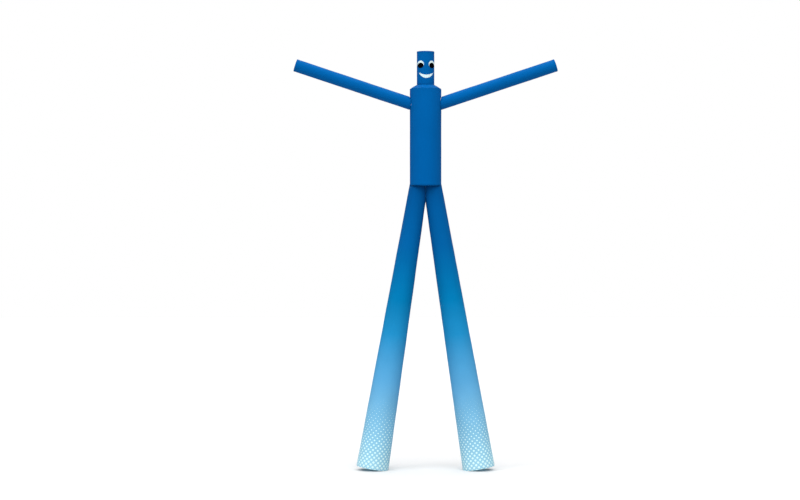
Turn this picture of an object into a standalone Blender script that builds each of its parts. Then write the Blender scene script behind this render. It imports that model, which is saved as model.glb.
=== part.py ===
"""A two-legged inflatable air dancer, standing inflated on its two foot hems.

Every cloth panel is a sheet at its inflated shape: tubes for the head, body, arms and legs, a cone for the
shoulders, two crescents that close the underside of the body, and the patches of the face.
The frame has +Z up, the face towards -Y, and its origin on the floor midway between the feet.
Left and right are those of someone looking at the face, so left is -X.
"""

import math

import bpy
from mathutils import Matrix, Vector

# Cloth
CLOTH = 0.002  # thickness of the coated cloth, its seams' doubled edges taken in
HEM_CLOTH = 0.004  # the cloth turned in on itself at an open end
HEM_WIDTH = 0.030
PATCH = 0.001  # thickness of a face patch
SEAM_GAP = 0.0003  # between two panels that are sewn edge to edge

# Heights above the floor
HEAD_TOP = 6.000
HEAD_BASE = 5.5245
SHOULDER_BASE = 5.4635
BODY_BASE = 4.0775

# Head and body
HEAD_RADIUS = 0.125
BODY_RADIUS = 0.2255

# Arms, measured along the arm from the body's centreline
ARM_RADIUS = 0.090
ARM_REACH = 1.9685
ARM_RISE = math.radians(18.42)  # above the horizontal
ARM_ROOT_HEIGHT = 5.1835  # where the arms' centrelines meet the body's

# Legs
FOOT_RADIUS = 0.2305
LEG_TAPER = math.radians(1.405)  # of the leg's side against its own centreline
LEG_SPLAY = math.radians(9.297)  # of the leg's centreline from the vertical
FOOT_SPREAD = 1.524  # between the centres of the two foot hems
FOOT_SETTLE = 0.008  # how far the inner edge of a foot hem is pressed flat on the floor
LEG_OVERRUN = 0.130  # how far a leg is drawn above the body's base before it is trimmed

# Face, turned a little to the right. Its shapes are those seen from the face's own front, so these are
# distances straight across, and the patches are cut longer round the head.
FACE_TURN = math.radians(4.55)
EYE_OFFSET = 0.079
EYE_HEIGHT = 5.8095
EYE_HALF_WIDTH = 0.043
EYE_HALF_HEIGHT = 0.053
PUPIL_OFFSET = 0.0785
PUPIL_HEIGHT = 5.7945
PUPIL_RADIUS = 0.039
MOUTH_HALF_WIDTH = 0.1005
MOUTH_CORNER_HEIGHT = 5.692
MOUTH_TOP_DIP = 0.0315  # of the upper lip's middle below the corners
MOUTH_BOTTOM_DIP = 0.078  # of the lower lip's middle below the corners

# Facets
BODY_SEGMENTS = 64
LEG_SEGMENTS = 64
HEAD_SEGMENTS = 64
ARM_SEGMENTS = 48
PATCH_COLUMNS = 20
PATCH_ROWS = 4
CUTTER_MARGIN = 0.2  # how far a cutter reaches past what it cuts
SHARP_EDGE = math.radians(40)
MERGE = 0.00001

LEFT, RIGHT = -1, 1
BLUE = (0.004, 0.114, 0.392, 1.0)
LEG_BLUE = (0.051, 0.292, 0.604, 1.0)
WHITE = (0.86, 0.93, 0.95, 1.0)
BLACK = (0.006, 0.006, 0.008, 1.0)


def clear_scene():
    """Removes every object that the file starts with."""
    for thing in list(bpy.data.objects):
        bpy.data.objects.remove(thing)


def collection(name):
    """A new collection under the scene's own."""
    made = bpy.data.collections.new(name)
    bpy.context.scene.collection.children.link(made)
    return made


def move_to(target, thing):
    """Puts an object in one collection only."""
    for holder in list(thing.users_collection):
        holder.objects.unlink(thing)
    target.objects.link(thing)
    return thing


def cloth_material(name, colour, roughness=0.55):
    """Coated cloth of one colour."""
    made = bpy.data.materials.new(name)
    made.use_nodes = True
    shader = made.node_tree.nodes["Principled BSDF"]
    shader.inputs["Base Color"].default_value = colour
    shader.inputs["Roughness"].default_value = roughness
    shader.inputs["Metallic"].default_value = 0.0
    return made


def turned(name, profile, segments):
    """A ring-shaped solid: a closed profile of (radius, height) points, turned about the object's own Z.

    The profile runs down the outer side and back up the inner side.
    """
    mesh = bpy.data.meshes.new(name)
    points = [(radius, 0.0, height) for radius, height in profile]
    loop = [(i, (i + 1) % len(points)) for i in range(len(points))]
    mesh.from_pydata(points, loop, [])
    made = bpy.data.objects.new(name, mesh)
    bpy.context.scene.collection.objects.link(made)
    screw = made.modifiers.new("Turn", "SCREW")
    screw.steps = segments
    screw.render_steps = segments
    screw.use_merge_vertices = True
    screw.merge_threshold = MERGE
    return made


def tube_profile(bottom, top, bottom_radius, top_radius, hem_at=None):
    """The closed profile of a cloth tube between two heights. hem_at is "top" or "bottom" where that end has a
    hem, whose extra cloth is turned inwards."""

    def outer(height):
        share = (height - bottom) / (top - bottom)
        return bottom_radius + (top_radius - bottom_radius) * share

    inner = [(bottom, CLOTH), (top, CLOTH)]
    if hem_at == "top":
        start = top - HEM_WIDTH
        inner = [(bottom, CLOTH), (start, CLOTH), (start, HEM_CLOTH), (top, HEM_CLOTH)]
    if hem_at == "bottom":
        end = bottom + HEM_WIDTH
        inner = [(bottom, HEM_CLOTH), (end, HEM_CLOTH), (end, CLOTH), (top, CLOTH)]
    down = [(outer(top), top), (outer(bottom), bottom)]
    up = [(outer(height) - thickness, height) for height, thickness in inner]
    return down + up


def cut(thing, cutter, operation="DIFFERENCE"):
    """Adds a Boolean with a cutter to an object."""
    boolean = thing.modifiers.new(f"Cut {cutter.name}", "BOOLEAN")
    boolean.operation = operation
    boolean.object = cutter
    boolean.solver = "EXACT"


def as_cutter(thing, name):
    """Names a helper, hides it from the render and puts it with the cutters."""
    thing.name = name
    thing.hide_render = True
    thing.display_type = "WIRE"
    return move_to(CUTTERS, thing)


def cylinder_cutter(name, radius, bottom, top, segments):
    """An upright cylinder about the frame's Z, as a cutter."""
    bpy.ops.mesh.primitive_cylinder_add(
        vertices=segments, radius=radius, depth=top - bottom, location=(0, 0, (top + bottom) / 2)
    )
    return as_cutter(bpy.context.object, name)


def box_cutter(name, low, high):
    """A box between two corners, as a cutter."""
    low, high = Vector(low), Vector(high)
    bpy.ops.mesh.primitive_cube_add(size=1, location=(low + high) / 2)
    box = bpy.context.object
    box.data.transform(Matrix.Diagonal((*(high - low), 1)))
    return as_cutter(box, name)


def place_leg(thing, side):
    """Stands a leg, or a cutter along it, on its foot with its top leaning in to the body."""
    foot_height = FOOT_RADIUS * math.sin(LEG_SPLAY) - FOOT_SETTLE
    thing.location = (side * FOOT_SPREAD / 2, 0, foot_height)
    thing.rotation_euler = (0, -side * LEG_SPLAY, 0)


def leg_length():
    """From the foot hem to above the body's base, along the leg."""
    foot_height = FOOT_RADIUS * math.sin(LEG_SPLAY) - FOOT_SETTLE
    return (BODY_BASE + LEG_OVERRUN - foot_height) / math.cos(LEG_SPLAY)


def place_arm(thing, side):
    """Points an arm, or a cutter along it, out and up from the body's centreline."""
    thing.location = (0, 0, ARM_ROOT_HEIGHT)
    thing.rotation_euler = (0, side * (math.pi / 2 - ARM_RISE), 0)


def dress(thing, material):
    """Fixes a piece's mesh as its modifiers make it, shades it smooth and gives it its material."""
    graph = bpy.context.evaluated_depsgraph_get()
    mesh = bpy.data.meshes.new_from_object(thing.evaluated_get(graph))
    mesh.name = thing.name
    thing.modifiers.clear()
    thing.data = mesh
    mesh.shade_smooth()
    mesh.set_sharp_from_angle(angle=SHARP_EDGE)
    mesh.materials.clear()
    mesh.materials.append(material)
    return move_to(DANCER, thing)


def make_head():
    """The head's tube, open at the top so that the air leaves there, with its hem turned in."""
    profile = tube_profile(HEAD_BASE + SEAM_GAP, HEAD_TOP, HEAD_RADIUS, HEAD_RADIUS, hem_at="top")
    head = turned("head", profile, HEAD_SEGMENTS)
    return dress(head, cloth_material("head cloth", BLUE))


def make_shoulders():
    """The cone between body and head, its edges cut level to meet theirs."""
    bottom = SHOULDER_BASE + SEAM_GAP
    slope = math.atan2(HEAD_BASE - bottom, BODY_RADIUS - HEAD_RADIUS)
    level_cloth = CLOTH / math.sin(slope)
    profile = [
        (HEAD_RADIUS, HEAD_BASE),
        (BODY_RADIUS, bottom),
        (BODY_RADIUS - level_cloth, bottom),
        (HEAD_RADIUS - level_cloth, HEAD_BASE),
    ]
    shoulders = turned("shoulders", profile, BODY_SEGMENTS)
    return dress(shoulders, cloth_material("shoulder cloth", BLUE))


def make_body():
    """The body's tube, with a round hole behind each arm for the air."""
    bottom = BODY_BASE + CLOTH + SEAM_GAP
    profile = tube_profile(bottom, SHOULDER_BASE, BODY_RADIUS, BODY_RADIUS)
    body = turned("body", profile, BODY_SEGMENTS)
    for side, name in ((LEFT, "left arm hole"), (RIGHT, "right arm hole")):
        reach = BODY_RADIUS + CUTTER_MARGIN
        bpy.ops.mesh.primitive_cylinder_add(vertices=ARM_SEGMENTS, radius=ARM_RADIUS - CLOTH, depth=reach)
        hole = as_cutter(bpy.context.object, name)
        hole.data.transform(Matrix.Translation((0, 0, reach / 2)))
        place_arm(hole, side)
        cut(body, hole)
    return dress(body, cloth_material("body cloth", BLUE))


def make_arm(side, name, body_space):
    """One arm's tube, cut to the curve of the body's side and hemmed at its open hand."""
    profile = tube_profile(0.0, ARM_REACH, ARM_RADIUS, ARM_RADIUS, hem_at="top")
    arm = turned(name, profile, ARM_SEGMENTS)
    place_arm(arm, side)
    cut(arm, body_space)
    return dress(arm, cloth_material(f"{name} cloth", BLUE))


def make_leg(side, name, body_space, floor):
    """One leg's tapered tube: hemmed at the foot, trimmed at the other leg and at the body's base.

    Its outer side stands a little wider than the body, and laps a short way up the body's side.
    """
    length = leg_length()
    top_radius = FOOT_RADIUS - length * math.tan(LEG_TAPER)
    profile = tube_profile(0.0, length, FOOT_RADIUS, top_radius, hem_at="bottom")
    leg = turned(name, profile, LEG_SEGMENTS)
    place_leg(leg, side)
    cut(leg, body_space)
    cut(leg, floor)
    reach = BODY_RADIUS + CUTTER_MARGIN
    near, far = sorted((side * SEAM_GAP / 2, -side * reach))
    other_side = box_cutter(
        f"{name} other side",
        (near, -reach, BODY_BASE - 2 * reach),
        (far, reach, BODY_BASE + LEG_OVERRUN + CUTTER_MARGIN),
    )
    cut(leg, other_side)
    return dress(leg, cloth_material(f"{name} cloth", LEG_BLUE))


def leg_inside(side, name):
    """The space inside a leg's cloth, as a cutter."""
    length = leg_length()
    top_radius = FOOT_RADIUS - length * math.tan(LEG_TAPER)
    bpy.ops.mesh.primitive_cone_add(
        vertices=LEG_SEGMENTS, radius1=FOOT_RADIUS - CLOTH, radius2=top_radius - CLOTH, depth=length
    )
    inside = as_cutter(bpy.context.object, name)
    inside.data.transform(Matrix.Translation((0, 0, length / 2)))
    place_leg(inside, side)
    return inside


def make_base(facing, name, leg_spaces):
    """The front or back crescent of the body's underside, from the body's edge to the tops of the legs."""
    bpy.ops.mesh.primitive_cylinder_add(
        vertices=BODY_SEGMENTS, radius=BODY_RADIUS, depth=CLOTH, location=(0, 0, BODY_BASE + CLOTH / 2)
    )
    base = bpy.context.object
    base.name = name
    for space in leg_spaces:
        cut(base, space)
    reach = BODY_RADIUS + CUTTER_MARGIN
    near, far = sorted((0.0, facing * reach))
    half = box_cutter(f"{name} half", (-reach, near, BODY_BASE - reach), (reach, far, BODY_BASE + reach))
    cut(base, half, "INTERSECT")
    return dress(base, cloth_material(f"{name} cloth", BLUE))


def face_angle(across):
    """The angle about the head of a point at a distance straight across the face."""
    return FACE_TURN + math.asin(across / HEAD_RADIUS)


def make_patch(name, half_width, middle, top, bottom, radius, material):
    """A face patch, a sheet bent round the head.

    middle is (distance across from the face's middle, height). top and bottom give the patch's edges, as
    heights above the middle, at a share from -1 to 1 of its half width. The radius is that of the flats between
    the patch's corners, so that they clear what lies under them.
    """
    shares = [math.sin(math.pi * (column / PATCH_COLUMNS - 0.5)) for column in range(PATCH_COLUMNS + 1)]
    angles = [face_angle(middle[0] + share * half_width) for share in shares]
    widest_column = max(after - before for before, after in zip(angles, angles[1:]))
    radius /= math.cos(widest_column / 2)
    bpy.ops.mesh.primitive_grid_add(x_subdivisions=PATCH_COLUMNS, y_subdivisions=PATCH_ROWS, size=2)
    patch = bpy.context.object
    patch.name = name
    for corner in patch.data.vertices:
        share = math.sin(corner.co.x * math.pi / 2)
        low, high = bottom(share), top(share)
        height = middle[1] + low + (high - low) * (corner.co.y + 1) / 2
        angle = face_angle(middle[0] + share * half_width)
        corner.co = (radius * math.sin(angle), -radius * math.cos(angle), height)
    weld = patch.modifiers.new("Close the corners", "WELD")
    weld.merge_threshold = MERGE
    solidify = patch.modifiers.new("Cloth", "SOLIDIFY")
    solidify.thickness = PATCH
    solidify.offset = 1.0
    return dress(patch, material)


def make_eye(side, name, white, black):
    """An eye's upright white oval and, over its lower part down to its rim, the pupil's black disc."""

    def oval(part, middle, half_width, half_height, surface, material):
        def rim(share):
            return half_height * math.sqrt(max(0.0, 1 - share * share))

        def lower_rim(share):
            return -rim(share)

        make_patch(f"{name}_{part}", half_width, middle, rim, lower_rim, surface, material)

    first = HEAD_RADIUS + SEAM_GAP
    second = first + PATCH + SEAM_GAP
    oval("white", (side * EYE_OFFSET, EYE_HEIGHT), EYE_HALF_WIDTH, EYE_HALF_HEIGHT, first, white)
    oval("pupil", (side * PUPIL_OFFSET, PUPIL_HEIGHT), PUPIL_RADIUS, PUPIL_RADIUS, second, black)


def make_mouth(white):
    """The smile: a crescent between two arcs that meet at its corners."""

    def lip(dip):
        radius = (MOUTH_HALF_WIDTH**2 + dip**2) / (2 * dip)

        def edge(share):
            across = share * MOUTH_HALF_WIDTH
            return radius - dip - math.sqrt(radius * radius - across * across)

        return edge

    make_patch(
        "mouth",
        MOUTH_HALF_WIDTH,
        (0.0, MOUTH_CORNER_HEIGHT),
        lip(MOUTH_TOP_DIP),
        lip(MOUTH_BOTTOM_DIP),
        HEAD_RADIUS + SEAM_GAP,
        white,
    )


def main():
    """Makes every cutter and panel."""
    body_space = cylinder_cutter(
        "body space", BODY_RADIUS + SEAM_GAP, BODY_BASE - SEAM_GAP, HEAD_TOP, BODY_SEGMENTS
    )
    reach = FOOT_SPREAD + CUTTER_MARGIN
    floor = box_cutter("floor", (-reach, -reach, -CUTTER_MARGIN), (reach, reach, 0.0))
    make_head()
    make_shoulders()
    make_body()
    leg_spaces = [leg_inside(LEFT, "inside left leg"), leg_inside(RIGHT, "inside right leg")]
    make_base(-1, "base_front", leg_spaces)
    make_base(1, "base_back", leg_spaces)
    make_arm(LEFT, "arm_left", body_space)
    make_arm(RIGHT, "arm_right", body_space)
    make_leg(LEFT, "leg_left", body_space, floor)
    make_leg(RIGHT, "leg_right", body_space, floor)
    white = cloth_material("face white", WHITE)
    black = cloth_material("face black", BLACK)
    make_eye(LEFT, "eye_left", white, black)
    make_eye(RIGHT, "eye_right", white, black)
    make_mouth(white)


clear_scene()
DANCER = collection("air dancer")
CUTTERS = collection("cutters")
CUTTERS.hide_render = True
main()
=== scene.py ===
"""The looks of a two-legged inflatable air dancer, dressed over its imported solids.

Every cloth panel is a thin closed shell worked out on a grid of an angle round its tube and a distance
along it, with the tucks, felled seams and hems of real sewing in its surface. Every row of stitches is a
mesh of its own. Left and right are those of someone looking at the face, so left is -X.
"""

import logging
import math
from collections.abc import Callable, Sequence
from dataclasses import dataclass, field
from enum import Enum

import bpy
import numpy as np
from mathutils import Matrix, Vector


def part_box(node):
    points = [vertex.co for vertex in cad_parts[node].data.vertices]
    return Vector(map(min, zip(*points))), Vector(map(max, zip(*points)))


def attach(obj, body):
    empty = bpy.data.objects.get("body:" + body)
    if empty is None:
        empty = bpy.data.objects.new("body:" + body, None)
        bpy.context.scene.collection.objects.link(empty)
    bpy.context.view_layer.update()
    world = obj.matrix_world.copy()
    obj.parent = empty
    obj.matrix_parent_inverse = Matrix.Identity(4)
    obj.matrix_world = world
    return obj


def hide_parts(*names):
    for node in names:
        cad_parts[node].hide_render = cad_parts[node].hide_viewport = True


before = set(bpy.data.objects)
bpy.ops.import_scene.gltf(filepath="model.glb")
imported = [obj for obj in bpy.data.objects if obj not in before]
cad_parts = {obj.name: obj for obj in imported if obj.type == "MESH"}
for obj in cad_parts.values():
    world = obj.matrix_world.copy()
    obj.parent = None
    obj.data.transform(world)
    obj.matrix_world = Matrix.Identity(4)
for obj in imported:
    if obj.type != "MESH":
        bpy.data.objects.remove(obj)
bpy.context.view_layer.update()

Array = np.ndarray
Colour = tuple[float, float, float]
Line = Callable[[Array], Array]
Shape = Callable[[Array, Array], tuple[Array, Array]]  # shares of -1 to 1 give across and height

LOG = logging.getLogger("air_dancer")
UV_NAME = "Cloth"
SEAM_NAME = "Seam"

FRONT = np.array([0.0, -1.0, 0.0])
UP = np.array([0.0, 0.0, 1.0])
WALL = 0.0015  # thickness of the coated cloth at its visible edges
HIDDEN_WALL = 0.0045  # how deep the inner side lies where no opening shows it
SEAM_GAP = 0.0003  # between two panels that are sewn edge to edge
HEM_WIDTH = 0.030
HEM_RISE = 0.0006  # of the doubled cloth over the rest
HEM_EASE = 0.004  # over which it falls away past the hem's stitches
HEM_DIP = 0.0008  # of the cloth just past the hem
PULL_WIDTH = 0.008  # reach of the pull of a row of stitches
SWELL_SHARE = 0.4  # of a sewn edge's pull, as a swell beyond it
SWELL_PLACE = 0.026  # from the edge
SWELL_WIDTH = 0.016
ROUNDING = (0.3, 0.7)  # depths of the rings that round an edge, as shares of the wall

CLOUD_SCALE = 2.3  # noise repeats for each metre, in the dye
CREASE_SCALE = 34.0
SPECK_SCALE = 900.0  # in the plain weave
TONE_SCALE = 60.0  # in the thread's dye
TWIST_SCALE = 2500.0
CREASE_DEPTH = 0.0006
WEAVE_DEPTH = 0.00025
SPECK_RELIEF = 0.25  # of the plain weave against the thick yarns


class Side(Enum):
    """The two sides of the figure, by the sign of X."""

    LEFT = -1
    RIGHT = 1

    @property
    def word(self) -> str:
        """The side's name in lower case."""
        return self.name.lower()


class Slot(Enum):
    """The record's material slots."""

    BLUE = "blue_cloth"
    PRINTED = "printed_cloth"
    WHITE = "white_patch"
    BLACK = "black_patch"


class Edge(Enum):
    """How a panel's edge is finished."""

    HEM = "hem"
    SEWN = "sewn"


def smooth(share: Array) -> Array:
    """Eases from 0 to 1.

    Formula: 3t squared less 2t cubed, where t is the share held between 0 and 1.

    Args:
        share: where each point lies between the two ends.

    Returns:
        The eased share.
    """
    held = np.clip(share, 0.0, 1.0)
    return held * held * (3.0 - 2.0 * held)


def bump(offset: Array, width: float | Array) -> Array:
    """A bell of height 1.

    Formula: e to the power of minus (offset over width) squared.

    Args:
        offset: distance from the middle.
        width: distance at which the bell has fallen to about a third.

    Returns:
        The bell's height.
    """
    return np.exp(-((offset / width) ** 2))


@dataclass(frozen=True)
class Cone:
    """A straight round tube. Angle 0 faces the front, and half a turn either way is the back seam."""

    origin: tuple[float, float, float]
    along: tuple[float, float, float]
    radius: float
    taper: float = 0.0  # loss of radius for each metre along the centreline

    @property
    def sideways(self) -> Array:
        """The direction of angle 90 degrees, square to the centreline and to the front."""
        return np.cross(self.along, FRONT)

    @property
    def slope(self) -> float:
        """Angle between the side and the centreline."""
        return math.atan(self.taper)

    def radius_at(self, distance: Array) -> Array:
        """The radius at a distance along the centreline."""
        return self.radius - self.taper * distance

    def outward(self, angle: Array) -> Array:
        """Unit vectors square to the centreline: cosine times front plus sine times sideways."""
        return np.cos(angle)[..., None] * FRONT + np.sin(angle)[..., None] * self.sideways

    def normal(self, angle: Array) -> Array:
        """Unit vectors square to the side: the outward one tilted along the centreline by the slope."""
        lean = math.sin(self.slope) * np.asarray(self.along)
        return math.cos(self.slope) * self.outward(angle) + lean

    def point(self, angle: Array, distance: Array, lift: Array | float = 0.0) -> Array:
        """Points on the tube.

        Formula: the origin, plus the direction times the distance, plus outward times the radius there,
        plus the side's normal times the lift.

        Args:
            angle: angles about the centreline.
            distance: distances along it.
            lift: heights over the plain tube.

        Returns:
            The points, with a last axis of three.
        """
        centre = np.asarray(self.origin) + np.asarray(distance)[..., None] * np.asarray(self.along)
        ring = self.outward(angle) * self.radius_at(distance)[..., None]
        return centre + ring + self.normal(angle) * np.asarray(lift)[..., None]

    def flat(self, angle: Array, distance: Array) -> Array:
        """The same points on the cut cloth, laid flat, in metres.

        Formula: a plain tube unrolls to (radius times angle, distance). A cone unrolls to a ring sector
        about its apex, where a turn shrinks by the sine of the slope and the slant is the radius over
        that sine.

        Args:
            angle: angles about the centreline.
            distance: distances along it.

        Returns:
            The flat points, with a last axis of two.
        """
        if not self.taper:
            return np.stack([self.radius * angle, distance], axis=-1)
        swing = angle * math.sin(self.slope)
        slant = self.radius_at(distance) / math.sin(self.slope)
        first = self.radius / math.sin(self.slope)
        return np.stack([slant * np.sin(swing), first - slant * np.cos(swing)], axis=-1)


@dataclass(frozen=True)
class Gathers:
    """Small tucks that start at a seam and fade into the cloth, each of its own size."""

    places: Array
    depths: Array
    widths: Array
    reaches: Array
    length: float
    closed: bool

    @classmethod
    def scattered(cls, seed: int, length: float, spacing: float, depth: float, closed: bool) -> "Gathers":
        """Tucks in random sizes along a seam.

        Args:
            seed: the seam's own number.
            length: the seam's length in metres.
            spacing: mean distance between tucks.
            depth: the deepest tuck.
            closed: whether the seam runs round and meets itself.

        Returns:
            The tucks.
        """
        draw = np.random.default_rng(seed)
        count = max(3, round(length / spacing))
        places = (np.arange(count) + draw.uniform(0.15, 0.85, count)) * length / count
        return cls(
            places,
            depth * draw.uniform(0.25, 1.0, count),
            draw.uniform(0.006, 0.012, count),
            draw.uniform(0.018, 0.060, count),
            length,
            closed,
        )

    def lift(self, along: Array, away: Array) -> Array:
        """How far the tucks sink the cloth.

        Formula: for each tuck, minus its depth times a bell of the distance along the seam times a bell
        of the distance away from it. The sum of all.

        Args:
            along: distance along the seam.
            away: distance from the seam.

        Returns:
            The lift in metres, zero or less.
        """
        total = np.zeros(np.broadcast(along, away).shape)
        near = np.abs(away) < 3.0 * self.reaches.max()
        along_near = np.broadcast_to(along, total.shape)[near]
        away_near = np.broadcast_to(away, total.shape)[near]
        sunk = np.zeros(along_near.shape)
        for place, depth, width, reach in zip(self.places, self.depths, self.widths, self.reaches):
            gap = along_near - place
            if self.closed:
                gap -= self.length * np.round(gap / self.length)
            sunk -= depth * bump(gap, width) * bump(away_near, reach)
        total[near] = sunk
        return total


def link(mesh: bpy.types.Mesh, material: bpy.types.Material) -> bpy.types.Object:
    """Puts a mesh in the scene, smooth and in its material.

    Args:
        mesh: the mesh, which names the object.
        material: its only material.

    Returns:
        The new object.
    """
    mesh.materials.append(material)
    mesh.shade_smooth()
    made = bpy.data.objects.new(mesh.name, mesh)
    bpy.context.scene.collection.objects.link(made)
    return made


def grid_faces(rows: int, columns: int, wrap_rows: bool, wrap_columns: bool) -> tuple[Array, Array]:
    """Quads over a grid of points, wound so that they face outwards on a panel.

    Args:
        rows: points along.
        columns: points round.
        wrap_rows: whether the last row joins the first.
        wrap_columns: whether the last column joins the first.

    Returns:
        The quads' rows and columns, each of shape (faces, 4). Columns aren't wrapped yet, so that a
        pattern can tell the two sides of the seam apart.
    """
    row, column = np.meshgrid(
        np.arange(rows if wrap_rows else rows - 1),
        np.arange(columns if wrap_columns else columns - 1),
        indexing="ij",
    )
    row, column = row.ravel(), column.ravel()
    next_row = (row + 1) % rows
    return (
        np.stack([row, row, next_row, next_row], axis=-1),
        np.stack([column, column + 1, column + 1, column], axis=-1),
    )


def grid_mesh(name: str, points: Array, flat: Array, seam: Array | None, closed: bool) -> bpy.types.Mesh:
    """A mesh over a grid of points, with its flat pattern as UVs in metres.

    Args:
        name: the mesh's name.
        points: (rows, columns, 3).
        flat: (rows, columns, 2), with one more column where the grid is closed.
        seam: (rows, columns) closeness to a seam, or None.
        closed: whether the grid joins up both ways.

    Returns:
        The mesh.
    """
    rows, columns = points.shape[:2]
    face_rows, face_columns = grid_faces(rows, columns, closed, closed)
    mesh = bpy.data.meshes.new(name)
    quads = face_rows * columns + face_columns % columns
    mesh.from_pydata(points.reshape(-1, 3).tolist(), [], quads.tolist())
    uv = mesh.uv_layers.new(name=UV_NAME)
    uv.data.foreach_set("uv", flat[face_rows, face_columns].astype(np.float32).ravel())
    if seam is not None:
        layer = mesh.attributes.new(SEAM_NAME, "FLOAT", "POINT")
        layer.data.foreach_set("value", seam.astype(np.float32).ravel())
    return mesh


def flat_size(flat: Array) -> tuple[tuple[float, float], float]:
    """The size of a flat pattern.

    Formula: the area is the sum of the grid's quads, each half the cross product of its diagonals.

    Args:
        flat: (rows, columns, 2) flat points.

    Returns:
        ((width, length), area) in metres and square metres.
    """
    one = flat[1:, 1:] - flat[:-1, :-1]
    two = flat[1:, :-1] - flat[:-1, 1:]
    area = np.abs(one[..., 0] * two[..., 1] - one[..., 1] * two[..., 0]).sum() / 2
    width, length = np.ptp(flat.reshape(-1, 2), axis=0)
    return (float(width), float(length)), float(area)


@dataclass(frozen=True)
class Thread:
    """Lockstitch in a heavy thread: each stitch is a short bar whose ends dip into the cloth."""

    pitch: float = 0.0070
    length: float = 0.0050
    half_width: float = 0.00045
    rise: float = 0.00040
    dip: float = 0.00050

    def corners(self, points: Array, normals: Array) -> Array:
        """The corners of every stitch along a line.

        Formula: the middles are evenly spaced by arc length. Each stitch has four rings, the end ones
        sunk and the inner ones raised, and each ring is a diamond across the line.

        Args:
            points: (n, 3) points along the line.
            normals: (n, 3) the cloth's normals there.

        Returns:
            (stitches, 4 rings, 4 corners, 3).
        """
        steps = np.linalg.norm(np.diff(points, axis=0), axis=1)
        run = np.concatenate([[0.0], np.cumsum(steps)])
        count = max(1, int(run[-1] / self.pitch))
        middles = (np.arange(count) + 0.5) * run[-1] / count
        marks = middles[:, None] + self.length * np.array([-0.5, -0.25, 0.25, 0.5])
        centre = np.stack([np.interp(marks, run, points[:, k]) for k in range(3)], axis=-1)
        up = np.stack([np.interp(marks, run, normals[:, k]) for k in range(3)], axis=-1)
        up /= np.linalg.norm(up, axis=-1, keepdims=True)
        forward = centre[:, -1:] - centre[:, :1]
        across = np.cross(up, forward)
        across /= np.linalg.norm(across, axis=-1, keepdims=True)
        centre = centre + up * np.array([-self.dip, self.rise, self.rise, -self.dip])[:, None]
        wide, tall = across * self.half_width, up * self.rise
        return centre[:, :, None] + np.stack([wide, tall, -wide, -tall], axis=2)

    def mesh(self, name: str, rows: Sequence[tuple[Array, Array]]) -> bpy.types.Mesh:
        """All stitches of some rows as one mesh.

        Args:
            name: the mesh's name.
            rows: the (points, normals) of each row.

        Returns:
            The mesh.
        """
        corners = np.concatenate([self.corners(points, normals) for points, normals in rows])
        face_rows, face_columns = grid_faces(4, 4, False, True)
        sides = face_rows * 4 + face_columns % 4
        one = np.concatenate([sides, [[3, 2, 1, 0], [12, 13, 14, 15]]])
        faces = (np.arange(len(corners))[:, None, None] * 16 + one).reshape(-1, 4)
        mesh = bpy.data.meshes.new(name)
        mesh.from_pydata(corners.reshape(-1, 3).tolist(), [], faces.tolist())
        return mesh


THREAD = Thread()
FINE_THREAD = Thread(pitch=0.0042, length=0.0030, half_width=0.0003, rise=0.0003, dip=0.0004)


class Tree:
    """Adds and links the nodes of one material or world."""

    def __init__(self, owner: bpy.types.Material | bpy.types.World) -> None:
        """Starts an empty tree on its owner."""
        owner.use_nodes = True
        self.nodes = owner.node_tree.nodes
        self.links = owner.node_tree.links
        self.nodes.clear()

    def add(self, kind: str, inputs: dict | None = None, **settings: object) -> bpy.types.Node:
        """One node.

        Args:
            kind: the node's type, without its first words.
            inputs: values or sockets by input name or index.
            settings: the node's own properties.

        Returns:
            The node.
        """
        node = self.nodes.new(f"ShaderNode{kind}")
        for name, value in settings.items():
            setattr(node, name, value)
        for name, value in (inputs or {}).items():
            if isinstance(value, bpy.types.NodeSocket):
                self.links.new(value, node.inputs[name])
            else:
                node.inputs[name].default_value = value
        return node

    def math(self, operation: str, *values: object) -> bpy.types.NodeSocket:
        """The result of one arithmetic step on values or sockets."""
        return self.add("Math", dict(enumerate(values)), operation=operation).outputs[0]

    def between(
        self, value: object, low: float, high: float, at_low: float, at_high: float
    ) -> bpy.types.NodeSocket:
        """A value eased from one range to another."""
        inputs = {"Value": value, "From Min": low, "From Max": high, "To Min": at_low, "To Max": at_high}
        return self.add("MapRange", inputs, interpolation_type="SMOOTHSTEP").outputs["Result"]

    def noise(self, place: bpy.types.NodeSocket, scale: float, detail: float) -> bpy.types.NodeSocket:
        """A soft noise over some coordinates."""
        return self.add("TexNoise", {"Vector": place, "Scale": scale, "Detail": detail}).outputs["Fac"]

    def blend(self, share: object, first: object, second: object, how: str = "MIX") -> bpy.types.NodeSocket:
        """A mix of two colours."""
        node = self.add("Mix", data_type="RGBA", blend_type=how)
        for index, value in ((0, share), (6, first), (7, second)):
            if isinstance(value, bpy.types.NodeSocket):
                self.links.new(value, node.inputs[index])
            else:
                node.inputs[index].default_value = value if index == 0 else (*value, 1.0)
        return node.outputs[2]


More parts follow.
